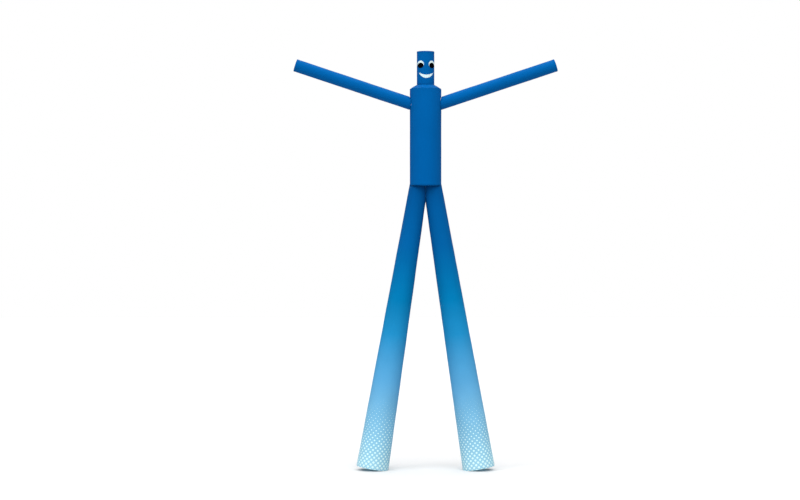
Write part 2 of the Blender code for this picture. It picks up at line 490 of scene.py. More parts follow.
@dataclass(frozen=True)
class Finish:
    """A cloth finish: its colour, gloss and weave."""

    name: str
    slot: Slot
    colour: Colour
    roughness: float = 0.55
    gloss: float = 0.08  # specular level
    gloss_tint: Colour = (1.0, 1.0, 1.0)
    sheen: float = 0.04
    sheen_tint: Colour = (1.0, 1.0, 1.0)
    grid: float = 0.0055  # between the thick yarns of the ripstop
    yarn: float = 0.0005  # width of a thick yarn
    mottle: float = 0.03  # how much the dye's depth varies
    soil: float = 0.10  # how far the cloth dulls along its seams
    yarn_shade: float = 0.10  # how much darker a thick yarn is
    speck_shade: float = 0.04  # how much the plain weave's threads vary
    rough_spread: float = 0.05  # how much the roughness varies

    def paint(self, tree: Tree, flat: bpy.types.NodeSocket) -> object:
        """The dye before wear, a plain colour unless a finish prints on it."""
        return self.colour

    def material(self) -> bpy.types.Material:
        """The finish as a material.

        The weave is a square grid of thick yarns on the flat pattern, over a fine plain weave. Soft
        noise varies the dye, and the cloth is a little duller where the seams' attribute is high.

        Returns:
            The material.
        """
        made = bpy.data.materials.new(self.name)
        tree = Tree(made)
        flat = tree.add("UVMap", uv_map=UV_NAME).outputs["UV"]
        place = tree.add("TexCoord").outputs["Object"]
        seam = tree.add("Attribute", attribute_name=SEAM_NAME, attribute_type="GEOMETRY").outputs["Fac"]
        yarns = tree.add(
            "TexBrick",
            {
                "Vector": flat,
                "Scale": 1.0,
                "Mortar Size": self.yarn / 2,
                "Mortar Smooth": 0.6,
                "Brick Width": self.grid,
                "Row Height": self.grid,
            },
            offset=0.0,
            squash=1.0,
        ).outputs["Fac"]
        clouds = tree.noise(place, CLOUD_SCALE, 4.0)
        specks = tree.noise(flat, SPECK_SCALE, 1.0)
        creases = tree.noise(place, CREASE_SCALE, 3.0)
        dye = self.paint(tree, flat)
        depth = tree.between(clouds, 0.3, 0.7, 1.0 - self.mottle, 1.0 + self.mottle)
        thread_depth = tree.math("MULTIPLY_ADD", yarns, -self.yarn_shade, 1.0)
        speck_depth = tree.between(specks, 0.2, 0.8, 1.0 - self.speck_shade, 1.0 + self.speck_shade)
        worn = tree.math("MULTIPLY", seam, tree.between(creases, 0.35, 0.65, self.soil * 0.4, self.soil))
        shade = tree.math("MULTIPLY", depth, tree.math("MULTIPLY", thread_depth, speck_depth))
        shade = tree.math("MULTIPLY", shade, tree.math("SUBTRACT", 1.0, worn))
        tint = tree.add("CombineColor", {0: shade, 1: shade, 2: shade}).outputs[0]
        colour = tree.blend(1.0, dye, tint, "MULTIPLY")
        smoothest, roughest = self.roughness - self.rough_spread, self.roughness + self.rough_spread
        rough = tree.between(creases, 0.3, 0.7, smoothest, roughest)
        weave = tree.math("MULTIPLY_ADD", specks, SPECK_RELIEF, yarns)
        folds = tree.add("Bump", {"Height": creases, "Strength": 0.35, "Distance": CREASE_DEPTH}).outputs[0]
        relief = tree.add(
            "Bump", {"Height": weave, "Strength": 0.30, "Distance": WEAVE_DEPTH, "Normal": folds}
        ).outputs[0]
        shader = tree.add(
            "BsdfPrincipled",
            {
                "Base Color": colour,
                "Roughness": rough,
                "Normal": relief,
                "Specular IOR Level": self.gloss,
                "Specular Tint": (*self.gloss_tint, 1.0),
                "Sheen Weight": self.sheen,
                "Sheen Roughness": 0.45,
                "Sheen Tint": (*self.sheen_tint, 1.0),
            },
        )
        tree.add("OutputMaterial", {"Surface": shader.outputs[0]})
        return made


@dataclass(frozen=True)
class PrintedFinish(Finish):
    """Cloth printed with a fade along the panel and a screen of round dots that grow towards its foot."""

    fade: tuple[tuple[float, Colour], ...] = ()  # (metres from the foot, colour)
    dot_pitch: float = 0.049
    dot_radius: float = 0.0175  # at the foot
    dot_top: float = 1.09  # metres from the foot where the dots have shrunk away
    dot_colour: Colour = (0.72, 0.97, 1.0)

    def paint(self, tree: Tree, flat: bpy.types.NodeSocket) -> object:
        """The print.

        Formula: the fade is a ramp over the distance from the foot. A dot is where the distance to the
        nearest point of a square lattice, turned by 45 degrees, is under a radius that shrinks evenly to
        the dots' top.

        Args:
            tree: the material's nodes.
            flat: the flat pattern's coordinates in metres.

        Returns:
            The print's colour socket.
        """
        height = tree.add("SeparateXYZ", {0: flat}).outputs["Y"]
        length = self.fade[-1][0]
        ramp = tree.add("ValToRGB", {"Fac": tree.math("DIVIDE", height, length)})
        stops = ramp.color_ramp.elements
        for spare in range(len(self.fade) - 2):
            stops.new((spare + 1) / len(self.fade))
        for stop, (distance, colour) in zip(stops, self.fade):
            stop.position = distance / length
            stop.color = (*colour, 1.0)
        scale = 1.0 / self.dot_pitch
        turned = tree.add(
            "Mapping",
            {"Vector": flat, "Rotation": (0.0, 0.0, math.pi / 4), "Scale": (scale, scale, 0.0)},
        ).outputs[0]
        cell = tree.add("VectorMath", {0: turned}, operation="FRACTION").outputs[0]
        offset = tree.add("VectorMath", {0: cell, 1: (0.5, 0.5, 0.0)}, operation="SUBTRACT").outputs[0]
        away = tree.add("VectorMath", {0: offset}, operation="LENGTH").outputs["Value"]
        radius = tree.add(
            "MapRange",
            {
                "Value": height,
                "From Min": 0.0,
                "From Max": self.dot_top,
                "To Min": self.dot_radius * scale,
                "To Max": 0.0,
            },
        ).outputs["Result"]
        soft_edge = 0.015
        dot = tree.between(tree.math("SUBTRACT", away, radius), -soft_edge, soft_edge, 1.0, 0.0)
        return tree.blend(dot, ramp.outputs[0], self.dot_colour)


@dataclass(frozen=True)
class ThreadFinish:
    """Bonded polyester thread, a little shinier than the cloth."""

    name: str
    slot: Slot
    colour: Colour

    def material(self) -> bpy.types.Material:
        """The thread as a material, its dye varied by noise and its twist as a fine bump."""
        made = bpy.data.materials.new(self.name)
        tree = Tree(made)
        place = tree.add("TexCoord").outputs["Object"]
        tone = tree.noise(place, TONE_SCALE, 2.0)
        twist = tree.noise(place, TWIST_SCALE, 1.0)
        darker = tuple(0.8 * part for part in self.colour)
        colour = tree.blend(tree.between(tone, 0.35, 0.65, 0.0, 1.0), darker, self.colour)
        relief = tree.add("Bump", {"Height": twist, "Strength": 0.3, "Distance": 0.0002}).outputs[0]
        shader = tree.add(
            "BsdfPrincipled",
            {"Base Color": colour, "Roughness": 0.42, "Normal": relief, "Specular IOR Level": 0.25},
        )
        tree.add("OutputMaterial", {"Surface": shader.outputs[0]})
        return made


DEEP_BLUE: Colour = (0.0006, 0.117, 0.398)
PALE_BLUE: Colour = (0.355, 0.690, 0.855)
PATCH_WHITE: Colour = (0.79, 0.98, 0.99)
PATCH_BLACK: Colour = (0.0010, 0.0010, 0.0035)

BLUE_CLOTH = Finish(
    "blue ripstop",
    Slot.BLUE,
    DEEP_BLUE,
    gloss_tint=(0.02, 0.40, 0.85),
    sheen_tint=(0.02, 0.40, 0.85),
)
PRINTED_CLOTH = PrintedFinish(
    "printed ripstop",
    Slot.PRINTED,
    PALE_BLUE,
    gloss_tint=(0.04, 0.50, 0.90),
    sheen_tint=(0.04, 0.50, 0.90),
    fade=(
        (0.0, PALE_BLUE),
        (1.25, (0.113, 0.410, 0.725)),
        (1.95, (0.0165, 0.282, 0.596)),
        (2.45, (0.001, 0.200, 0.465)),
        (3.25, (0.001, 0.122, 0.381)),
        # The fade is print; this top stop, darker than the body's own blue, is also painted shade under the
        # body's base where the legs meet
        (4.20, (0.0006, 0.084, 0.300)),
    ),
)
WHITE_PATCH = Finish(
    "white patch cloth", Slot.WHITE, PATCH_WHITE, mottle=0.02, soil=0.06, grid=0.0012, yarn=0.0003
)
BLACK_PATCH = Finish(
    "black patch cloth", Slot.BLACK, PATCH_BLACK, gloss=0.04, sheen=0.0, grid=0.0012, yarn=0.0003
)
BLUE_THREAD = ThreadFinish("blue thread", Slot.BLUE, (0.0006, 0.095, 0.330))
PALE_THREAD = ThreadFinish("pale thread", Slot.PRINTED, (0.20, 0.47, 0.70))
WHITE_THREAD = ThreadFinish("white thread", Slot.WHITE, (0.80, 0.85, 0.87))
BLACK_THREAD = ThreadFinish("black thread", Slot.BLACK, (0.006, 0.006, 0.007))


class Wardrobe:
    """Makes each finish's material once."""

    def __init__(self) -> None:
        """Starts with none made."""
        self.made: dict[str, bpy.types.Material] = {}

    def material(self, finish: Finish | ThreadFinish) -> bpy.types.Material:
        """The material of a finish."""
        if finish.name not in self.made:
            self.made[finish.name] = finish.material()
        return self.made[finish.name]

    def place(self, mesh: bpy.types.Mesh, finish: Finish | ThreadFinish, *nodes: str) -> bpy.types.Object:
        """Puts a piece in the scene, on the figure's one body and in its finish's material.

        Args:
            mesh: the piece's mesh.
            finish: what it is made of.
            nodes: the solids that it stands for.

        Returns:
            The piece.
        """
        piece = link(mesh, self.material(finish))
        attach(piece, "root")
        if nodes:
            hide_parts(*nodes)
        LOG.info("%s: %d faces", piece.name, len(mesh.polygons))
        return piece


@dataclass
class TubePanel:
    """A cloth tube between two edges, with one felled seam down its back."""

    name: str
    cone: Cone
    low: Line  # distance along the centreline where the cloth begins, by angle
    high: Line
    low_edge: Edge
    high_edge: Edge
    low_gathers: Gathers
    high_gathers: Gathers
    columns: int
    step: float  # between rings, away from the edges
    seed: int
    extra: Callable[[Array, Array], Array] | None = None  # more relief, by angle and distance
    high_share: Line | None = None  # share of the high edge's relief that shows, by angle
    breath: float = 0.0008  # how uneven the inflated cloth is
    bunching: float = 0.4  # how much closer the columns stand at the back seam
    edge_zone: float = 0.080  # depth of the fine rings at an edge
    edge_step: float = 0.0045
    seam_half_width: float = 0.006
    seam_height: float = 0.0007
    valley_depth: float = 0.0012  # beside the back seam
    valley_width: float = 0.022
    pull: float = 0.0014  # how far a sewn edge is drawn in
    back_gathers: tuple[Gathers, ...] = field(init=False)
    waves: Array = field(init=False)

    def __post_init__(self) -> None:
        """Draws the back seam's tucks and the slow waves from the panel's own seed."""
        length = float((self.high(np.zeros(1)) - self.low(np.zeros(1)))[0])
        self.back_gathers = tuple(
            Gathers.scattered(self.seed + side, length, 0.055, 0.0016, closed=False) for side in (1, 2)
        )
        draw = np.random.default_rng(self.seed)
        rounds = np.array([1, 2, 3, 4, 5, 7])
        count = len(rounds)
        self.waves = np.stack(
            [rounds, 2 * math.pi / draw.uniform(0.25, 1.1, count), draw.uniform(0, 2 * math.pi, count)]
        )

    def plain_wave(self, angle: Array, distance: Array) -> Array:
        """The inflated cloth's slow unevenness.

        Formula: the mean of a few cosines, each of a whole number of turns round plus a wave along,
        times the breath.

        Args:
            angle: angles about the centreline.
            distance: distances along it.

        Returns:
            The lift in metres.
        """
        rounds, pace, shift = self.waves
        phase = rounds * angle[..., None] + pace * distance[..., None] + shift
        return self.breath * np.cos(phase).mean(axis=-1) * 1.6

    def edge_lift(self, edge: Edge, gathers: Gathers, along: Array, away: Array) -> Array:
        """The relief at one edge.

        Formula: tucks, plus for a hem a raised band as wide as the hem, or for a sewn edge a pull
        inwards that fades as a bell, with a slight swell beyond.

        Args:
            edge: how the edge is finished.
            gathers: its tucks.
            along: distance round the edge.
            away: distance from the edge.

        Returns:
            The lift in metres.
        """
        lift = gathers.lift(along, away)
        if edge is Edge.HEM:
            band = 1.0 - smooth((away - HEM_WIDTH + HEM_EASE / 2) / HEM_EASE)
            return lift + HEM_RISE * band - HEM_DIP * bump(away - HEM_WIDTH - HEM_EASE, PULL_WIDTH)
        swell = SWELL_SHARE * self.pull * bump(away - SWELL_PLACE, SWELL_WIDTH)
        return lift - self.pull * bump(away, PULL_WIDTH) + swell

    def lift(self, angle: Array, distance: Array) -> Array:
        """The height of the cloth over the plain tube, all relief together.

        Formula: slow waves that fade out at the edges, plus the relief of both edges, plus at the back a
        felled seam: a flat raised band in a shallow valley, with tucks running out of both its sides.

        Args:
            angle: angles about the centreline.
            distance: distances along it.

        Returns:
            The lift in metres.
        """
        from_low = distance - self.low(angle)
        from_high = self.high(angle) - distance
        radius = self.cone.radius_at(distance)
        from_seam = (math.pi - np.abs(angle)) * radius
        quiet = smooth(np.minimum(from_low, from_high) / 0.12)
        lift = self.plain_wave(angle, distance) * quiet
        turn = (angle + math.pi) / (2 * math.pi)
        low_along, high_along = turn * self.low_gathers.length, turn * self.high_gathers.length
        lift = lift + self.edge_lift(self.low_edge, self.low_gathers, low_along, from_low)
        top = self.edge_lift(self.high_edge, self.high_gathers, high_along, from_high)
        lift = lift + (top if self.high_share is None else top * self.high_share(angle))
        band = 1.0 - smooth((from_seam - self.seam_half_width + 0.001) / 0.003)
        valley = -self.valley_depth * bump(from_seam, self.valley_width)
        off_band = smooth(from_seam / 0.005)
        tucks = [part.lift(from_low, from_seam) for part in self.back_gathers]
        tuck = np.where(angle >= 0, tucks[0], tucks[1]) * off_band
        lift = lift + self.seam_height * band + valley + tuck
        if self.extra is not None:
            lift = lift + self.extra(angle, distance)
        return lift

    def surface(self, angle: Array, distance: Array, above: float = 0.0) -> Array:
        """Points on the cloth itself, or a little above it."""
        return self.cone.point(angle, distance, self.lift(angle, distance) + above)

    def angles(self) -> Array:
        """Column angles from the back seam round to itself, closer together at the seam.

        Formula: even angles t plus the bunching times the sine of t.
        """
        even = np.linspace(-math.pi, math.pi, self.columns + 1)
        return even + self.bunching * np.sin(even)

    def rings(self, angle: Array, step: float) -> Array:
        """Distances of the rings at each column.

        Formula: fine steps in from each edge, and even shares of what is left between.

        Args:
            angle: column angles.
            step: distance between rings, away from the edges.

        Returns:
            (rings, columns) distances along the centreline.
        """
        low, high = self.low(angle), self.high(angle)
        zone = min(self.edge_zone, 0.3 * float((high - low).min()))
        fine = np.concatenate([[0.0006], np.arange(1, int(zone / self.edge_step) + 1) * self.edge_step])
        middle_count = max(2, round(float((high - low).max() - 2 * zone) / step))
        share = np.arange(1, middle_count) / middle_count
        start, end = low + fine[-1], high - fine[-1]
        middle = start + share[:, None] * (end - start)
        return np.concatenate([low + fine[:, None], middle, high - fine[::-1, None]])

    def walls(self) -> tuple[Array, Array]:
        """Every ring of the shell, as distances and as depths below the cloth's outer side.

        The rings go up the outer side, over the top edge, down the inner side and under the bottom edge.
        Both edges are rounded by two rings right at the edge. Where no opening shows it, the inner side
        lies deeper and has wider steps.

        Returns:
            (rings, columns + 1) distances, and depths of the same shape.
        """
        angle = self.angles()
        outer = self.rings(angle, self.step)
        inner = self.rings(angle, 6 * self.step)[::-1]
        low, high = self.low(angle), self.high(angle)
        none = np.zeros_like(angle)
        distance = np.concatenate([outer, [high, high], inner, [low, low]])
        near = np.minimum(inner - low, high - inner)
        hidden = smooth((near - 0.7 * self.edge_zone) / (0.3 * self.edge_zone))
        inner_depth = WALL + (HIDDEN_WALL - WALL) * hidden
        rounded = [none + share * WALL for share in ROUNDING]
        depth = np.concatenate([np.zeros_like(outer), rounded, inner_depth, rounded[::-1]])
        return distance, depth

    def mesh(self) -> bpy.types.Mesh:
        """The shell's mesh, with its flat pattern and its closeness to seams."""
        distance, depth = self.walls()
        angle = np.broadcast_to(self.angles(), distance.shape)
        lift = self.lift(angle, distance)
        deep = smooth((depth - WALL) / (HIDDEN_WALL - WALL))
        points = self.cone.point(angle, distance, lift * (1.0 - deep) - depth)
        edge = np.minimum(distance - self.low(angle), self.high(angle) - distance)
        seam = np.minimum(edge, (math.pi - np.abs(angle)) * self.cone.radius_at(distance))
        closeness = 1.0 - smooth(seam / 0.035)
        name, flat = f"{self.name}_cloth", self.cone.flat(angle, distance)
        return grid_mesh(name, points[:, :-1], flat, closeness[:, :-1], closed=True)

    def flat_size(self) -> tuple[tuple[float, float], float]:
        """The width and length of the cut cloth, and its area."""
        distance = self.rings(self.angles(), self.step)
        angle = np.broadcast_to(self.angles(), distance.shape)
        return flat_size(self.cone.flat(angle, distance))

    def edge_row(self, high: bool, inset: float) -> tuple[Array, Array]:
        """A row of stitches round one edge, as points and normals.

        Args:
            high: whether it is the high edge.
            inset: distance of the row from the edge.

        Returns:
            The points and the cloth's normals there.
        """
        angle = np.linspace(-math.pi, math.pi, 4 * self.columns)
        distance = self.high(angle) - inset if high else self.low(angle) + inset
        return self.surface(angle, distance), self.cone.normal(angle)

    def seam_row(self, offset: float, start: float = 0.012) -> tuple[Array, Array]:
        """A row of stitches up the back, beside the seam, as points and normals.

        Args:
            offset: distance of the row from the seam's middle, plus or minus.
            start: how far from each edge the row stops.

        Returns:
            The points and the cloth's normals there.
        """
        back = np.array([math.pi])
        low, high = float(self.low(back)[0]) + start, float(self.high(back)[0]) - start
        distance = np.linspace(low, high, max(8, int((high - low) / 0.003)))
        turn = abs(offset) / self.cone.radius_at(distance)
        angle = np.sign(offset) * (math.pi - turn)
        return self.surface(angle, distance), self.cone.normal(angle)

    def stitch_rows(self) -> list[tuple[Array, Array]]:
        """The two rows of the felled seam, two on each hem and one beside each sewn edge."""
        rows = [self.seam_row(-0.0038), self.seam_row(0.0038)]
        for edge, high in ((self.low_edge, False), (self.high_edge, True)):
            insets = (HEM_WIDTH - 0.0035, HEM_WIDTH - 0.0085) if edge is Edge.HEM else (0.006,)
            rows += [self.edge_row(high, inset) for inset in insets]
        return rows

    def build(self, wardrobe: Wardrobe, cloth: Finish, thread: ThreadFinish) -> bpy.types.Object:
        """Args:
            wardrobe: where materials come from.
            cloth: the panel's finish.
            thread: its stitches' finish.

        Returns:
            The panel.
        """
        panel = wardrobe.place(self.mesh(), cloth, self.name)
        stitches = wardrobe.place(THREAD.mesh(f"{self.name}_stitches", self.stitch_rows()), thread)
        flat, area = self.flat_size()
        return panel


def level(height: float) -> Line:
    """An edge at one distance all round."""
    return lambda angle: np.full(np.shape(angle), height)


@dataclass
class Trunk:
    """Head, shoulders and body: three panels about one upright centreline."""

    head_top: float = float(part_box("head")[1].z)
    head_base: float = float(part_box("head")[0].z)
    shoulder_base: float = float(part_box("shoulders")[0].z)
    shoulder_top: float = float(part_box("shoulders")[1].z)
    body_top: float = float(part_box("body")[1].z)
    body_base: float = float(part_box("body")[0].z)
    head_radius: float = 0.125
    body_radius: float = 0.2255

    def __post_init__(self) -> None:
        """Draws the tucks of the two seams that the panels share."""
        neck = 2 * math.pi * self.head_radius
        waist = 2 * math.pi * self.body_radius
        self.neck_gathers = Gathers.scattered(31, neck, 0.030, 0.0008, closed=True)
        self.shoulder_gathers = Gathers.scattered(37, waist, 0.034, 0.0014, closed=True)
        self.top_gathers = Gathers.scattered(41, neck, 0.045, 0.0006, closed=True)
        self.base_gathers = Gathers.scattered(43, waist, 0.032, 0.0015, closed=True)

    def upright(self, radius: float, taper: float = 0.0, base: float = 0.0) -> Cone:
        """A cone about the trunk's centreline, from a height up."""
        return Cone((0.0, 0.0, base), (0.0, 0.0, 1.0), radius, taper)

    def head(self) -> TubePanel:
        """The head's panel, hemmed at its open top."""
        return TubePanel(
            "head",
            self.upright(self.head_radius),
            level(self.head_base),
            level(self.head_top),
            Edge.SEWN,
            Edge.HEM,
            self.neck_gathers,
            self.top_gathers,
            columns=168,
            step=0.0075,
            seed=101,
            breath=0.0004,
            pull=0.0004,
        )

    def shoulders(self) -> TubePanel:
        """The cone between body and head."""
        rise = self.shoulder_top - self.shoulder_base
        taper = (self.body_radius - self.head_radius) / rise
        return TubePanel(
            "shoulders",
            self.upright(self.body_radius, taper, self.shoulder_base),
            level(0.0),
            level(rise),
            Edge.SEWN,
            Edge.SEWN,
            self.shoulder_gathers,
            self.neck_gathers,
            columns=208,
            step=0.0022,
            seed=111,
            breath=0.0004,
            edge_step=0.0022,
        )

    def body(self, arms: "Sequence[Arm]") -> TubePanel:
        """The body's panel, its cloth drawn in round the arms."""

        def arm_relief(angle: Array, distance: Array) -> Array:
            points = self.upright(self.body_radius).point(angle, distance)
            return sum(arm.draw_in(points) for arm in arms)

        return TubePanel(
            "body",
            self.upright(self.body_radius),
            level(self.body_base),
            level(self.body_top),
            Edge.SEWN,
            Edge.SEWN,
            self.base_gathers,
            self.shoulder_gathers,
            columns=236,
            step=0.0090,
            seed=121,
            extra=arm_relief,
            bunching=0.25,
        )


@dataclass
class Arm:
    """One arm: a tube cut to the body's curve, hemmed at its open hand."""

    side: Side
    trunk: Trunk
    radius: float = 0.090
    reach: float = 1.9685  # from the body's centreline to the hand, along the arm
    rise: float = math.radians(18.42)
    root_height: float = 5.1835

    def __post_init__(self) -> None:
        """Sets the arm's centreline and draws its tucks."""
        sign = self.side.value
        along = (sign * math.cos(self.rise), 0.0, math.sin(self.rise))
        self.cone = Cone((0.0, 0.0, self.root_height), along, self.radius)
        self.above = np.cross(FRONT, along) * sign  # square to the arm, towards its upper side
        ring = 2 * math.pi * self.radius
        self.root_gathers = Gathers.scattered(51 + sign, ring, 0.026, 0.0016, closed=True)
        self.hand_gathers = Gathers.scattered(61 + sign, ring, 0.040, 0.0006, closed=True)

    def root_line(self, angle: Array) -> Array:
        """Where the arm meets the body.

        Formula: the distance at which a straight line along the arm's side stands on the body's
        cylinder, whose half width there is the root of its radius squared less the line's depth squared.

        Args:
            angle: angles about the arm.

        Returns:
            Distances along the arm.
        """
        body = self.trunk.body_radius + SEAM_GAP
        half_width = np.sqrt(body**2 - (self.radius * np.cos(angle)) ** 2)
        offset = self.radius * self.cone.sideways[0] * np.sin(angle)
        return (self.side.value * half_width - offset) / self.cone.along[0]

    def turn_of(self, points: Array) -> tuple[Array, Array]:
        """Places seen along the arm.

        Args:
            points: points near the arm's root.

        Returns:
            Their distance along the root seam, and their distance outside the arm's side.
        """
        from_root = points - np.asarray(self.cone.origin)
        over = from_root @ self.above
        across = from_root[..., 1]
        turn = np.arctan2(over, across) + math.pi
        return turn * self.radius, np.hypot(over, across) - self.radius

    def draw_in(self, points: Array) -> Array:
        """How the arm's seam draws the body's cloth in.

        Formula: tucks round the root and a bell-shaped pull inwards, both zero on the body's far side.

        Args:
            points: points on the body.

        Returns:
            The lift in metres.
        """
        along, away = self.turn_of(points)
        outside = np.maximum(away, 0.0)
        pull = -0.0010 * bump(outside, 0.008) + 0.0007 * bump(outside - 0.028, 0.018)
        facing = points[..., 0] * self.side.value > 0
        return np.where(facing, self.root_gathers.lift(along, outside) + pull, 0.0)

    def hole(self) -> bpy.types.Mesh:
        """A closed cylinder along the arm's inside, to cut the body with.

        Formula: two rings of the arm's inner radius, one at the centreline and one past the body, with a
        flat face on each.
        """
        angle = np.linspace(0, 2 * math.pi, 96, endpoint=False)
        inside = Cone(self.cone.origin, self.cone.along, self.radius - WALL)
        ends = [inside.point(angle, np.full(angle.shape, reach)) for reach in (0.02, 0.5)]
        count = len(angle)
        faces = [[i, (i + 1) % count, count + (i + 1) % count, count + i] for i in range(count)]
        caps = [list(range(count))[::-1], list(range(count, 2 * count))]
        mesh = bpy.data.meshes.new(f"{self.side.word} arm hole")
        mesh.from_pydata(np.concatenate(ends).tolist(), [], faces + caps)
        return mesh

    def panel(self) -> TubePanel:
        """The arm's panel, its root tucks the same as the body's."""
        sign = self.side.value
        length = self.root_gathers.length
        matched = Gathers(
            np.mod(sign * self.root_gathers.places + length / 2, length),
            self.root_gathers.depths,
            self.root_gathers.widths,
            self.root_gathers.reaches,
            length,
            closed=True,
        )
        return TubePanel(
            f"arm_{self.side.word}",
            self.cone,
            self.root_line,
            level(self.reach),
            Edge.SEWN,
            Edge.HEM,
            matched,
            self.hand_gathers,
            columns=136,
            step=0.0115,
            seed=131 + sign,
        )


@dataclass
class Leg:
    """One leg: a tapered tube, hemmed at its open foot and sewn to the body's base and to the other leg."""

    side: Side
    trunk: Trunk
    foot_radius: float = 0.2305
    taper: float = math.tan(math.radians(1.405))
    splay: float = math.radians(9.297)
    spread: float = 1.524  # between the centres of the two foot hems
    settle: float = 0.008  # how far the inner edge of the foot hem is pressed flat on the floor

    def __post_init__(self) -> None:
        """Sets the leg's centreline and draws its tucks."""
        sign = self.side.value
        foot_height = self.foot_radius * math.sin(self.splay) - self.settle
        origin = (sign * self.spread / 2, 0.0, foot_height)
        along = (-sign * math.sin(self.splay), 0.0, math.cos(self.splay))
        self.cone = Cone(origin, along, self.foot_radius, self.taper)
        ring = 2 * math.pi * self.foot_radius
        self.foot_gathers = Gathers.scattered(71 + sign, ring, 0.048, 0.0008, closed=True)
        self.top_gathers = Gathers.scattered(81 + sign, 0.55 * ring, 0.028, 0.0015, closed=True)
        self.base_height = float(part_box("base_front")[0].z) - SEAM_GAP

    def side_line(self, angle: Array) -> tuple[Array, Array, Array, Array]:
        """The straight line along the leg's side at an angle.

        Args:
            angle: angles about the leg.

        Returns:
            X and height at the foot, then the gain of each for a metre along the leg.
        """
        sine = np.sin(angle)
        x_start = self.cone.origin[0] + self.foot_radius * self.cone.sideways[0] * sine
        z_start = self.cone.origin[2] + self.foot_radius * self.cone.sideways[2] * sine
        x_gain = self.cone.along[0] - self.taper * self.cone.sideways[0] * sine
        z_gain = self.cone.along[2] - self.taper * self.cone.sideways[2] * sine
        return x_start, z_start, x_gain, z_gain

    def foot_line(self, angle: Array) -> Array:
        """Where the cloth begins: square to the leg, but no lower than the floor."""
        _, z_start, _, z_gain = self.side_line(angle)
        return np.maximum(0.0, -z_start / z_gain)

    def top_line(self, angle: Array) -> Array:
        """Where the cloth ends.

        Formula: at the plane between the legs or at the body's base, whichever comes first. Where the
        leg is wider than the body it goes on up to the body's side, at the first root of the quadratic
        that sets the distance from the body's centreline to the body's radius.

        Args:
            angle: angles about the leg.

        Returns:
            Distances along the leg.
        """
        x_start, z_start, x_gain, z_gain = self.side_line(angle)
        y_start = -self.foot_radius * np.cos(angle)
        y_gain = self.taper * np.cos(angle)
        base = (self.base_height - z_start) / z_gain
        middle = (self.side.value * SEAM_GAP / 2 - x_start) / x_gain
        body = self.trunk.body_radius + SEAM_GAP
        square = x_gain**2 + y_gain**2
        half = x_start * x_gain + y_start * y_gain
        rest = x_start**2 + y_start**2 - body**2
        entry = (-half - np.sqrt(np.maximum(half**2 - square * rest, 0.0))) / square
        outside = np.hypot(x_start + x_gain * base, y_start + y_gain * base) > body
        return np.minimum(np.where(outside, entry, base), middle)

    def flat_seam(self, angle: Array) -> Array:
        """No relief where the legs are sewn together, so that no slit opens, and all of it elsewhere."""
        inwards = -self.side.value * np.sin(angle)
        return 1.0 - smooth((inwards - 0.55) / 0.20)

    def panel(self) -> TubePanel:
        """The leg's panel."""
        return TubePanel(
            f"leg_{self.side.word}",
            self.cone,
            self.foot_line,
            self.top_line,
            Edge.HEM,
            Edge.SEWN,
            self.foot_gathers,
            self.top_gathers,
            columns=208,
            step=0.0160,
            seed=141 + self.side.value,
            high_share=self.flat_seam,
            breath=0.0010,
        )


@dataclass
class BaseCrescent:
    """The front or back crescent that closes the body's underside."""

    facing: int  # -1 for the front, 1 for the back
    trunk: Trunk
    legs: Sequence[Leg]
    sag: float = 0.007  # how far the air bulges it downwards
    columns: int = 150
    rows: int = 26

    @property
    def name(self) -> str:
        """The crescent's name, which is its node's."""
        return "base_front" if self.facing < 0 else "base_back"

    def leg_half_depth(self, x: Array) -> Array:
        """How far from the middle a leg's cloth reaches at the base's height.

        Formula: the leg's section there, drawn as (x, y) points by angle and read off at each x.

        Args:
            x: distances from the middle, not negative.

        Returns:
            Half depths along Y.
        """
        leg = self.legs[1]
        angle = np.linspace(-math.pi / 2, math.pi / 2, 721)
        x_start, z_start, x_gain, z_gain = leg.side_line(angle)
        distance = (self.trunk.body_base - z_start) / z_gain
        across = x_start + x_gain * distance
        depth = (leg.cone.radius_at(distance) - WALL) * np.cos(angle)
        order = np.argsort(across)
        return np.interp(x, across[order], depth[order])

    def grid(self) -> tuple[Array, Array]:
        """The crescent's points and their flat pattern.

        Formula: across runs from tip to tip, and inwards from the body's circle to the legs' section.
        The sag is a parabola over the inward share.

        Returns:
            (rows, columns, 3) points and (rows, columns, 2) flat points.
        """
        radius = self.trunk.body_radius - 0.0004
        trial = np.linspace(0.0, radius, 4001)
        room = np.sqrt(radius**2 - trial**2) - self.leg_half_depth(trial)
        tip = trial[room > 0.0004].max()
        across = tip * np.sin(np.linspace(-math.pi / 2, math.pi / 2, self.columns))
        outer = np.sqrt(radius**2 - across**2)
        inner = self.leg_half_depth(np.abs(across))
        share = np.linspace(0.0, 1.0, self.rows)[:, None]
        depth = outer + share * (inner - outer)
        width = outer - inner
        sag = self.sag * 4 * share * (1 - share) * np.minimum(width / width.max(), 1.0)
        height = self.trunk.body_base - SEAM_GAP - WALL - sag
        across = np.broadcast_to(across, depth.shape)
        points = np.stack([across, self.facing * depth, height], axis=-1)
        return points, np.stack([across, depth], axis=-1)

    def build(self, wardrobe: Wardrobe) -> bpy.types.Object:
        points, flat = self.grid()
        if self.facing < 0:
            points, flat = points[:, ::-1], flat[:, ::-1]
        edge = 1.0 - smooth(np.minimum(np.arange(self.rows), np.arange(self.rows)[::-1]) / 6.0)
        closeness = np.broadcast_to(edge[:, None], points.shape[:2])
        piece = wardrobe.place(
            grid_mesh(f"{self.name}_cloth", points, flat, closeness, closed=False), BLUE_CLOTH, self.name
        )
        thicken(piece, WALL)
        down = np.broadcast_to(-UP, points[2].shape)
        mesh = THREAD.mesh(f"{self.name}_stitches", [(points[2, 4:-4], down[4:-4])])
        stitches = wardrobe.place(mesh, BLUE_THREAD)
        return piece


def thicken(piece: bpy.types.Object, thickness: float) -> None:
    """Gives a single layer its thickness, behind the side that it faces."""
    solid = piece.modifiers.new("Cloth", "SOLIDIFY")
    solid.thickness = thickness
    solid.offset = -1.0
    solid.use_even_offset = True


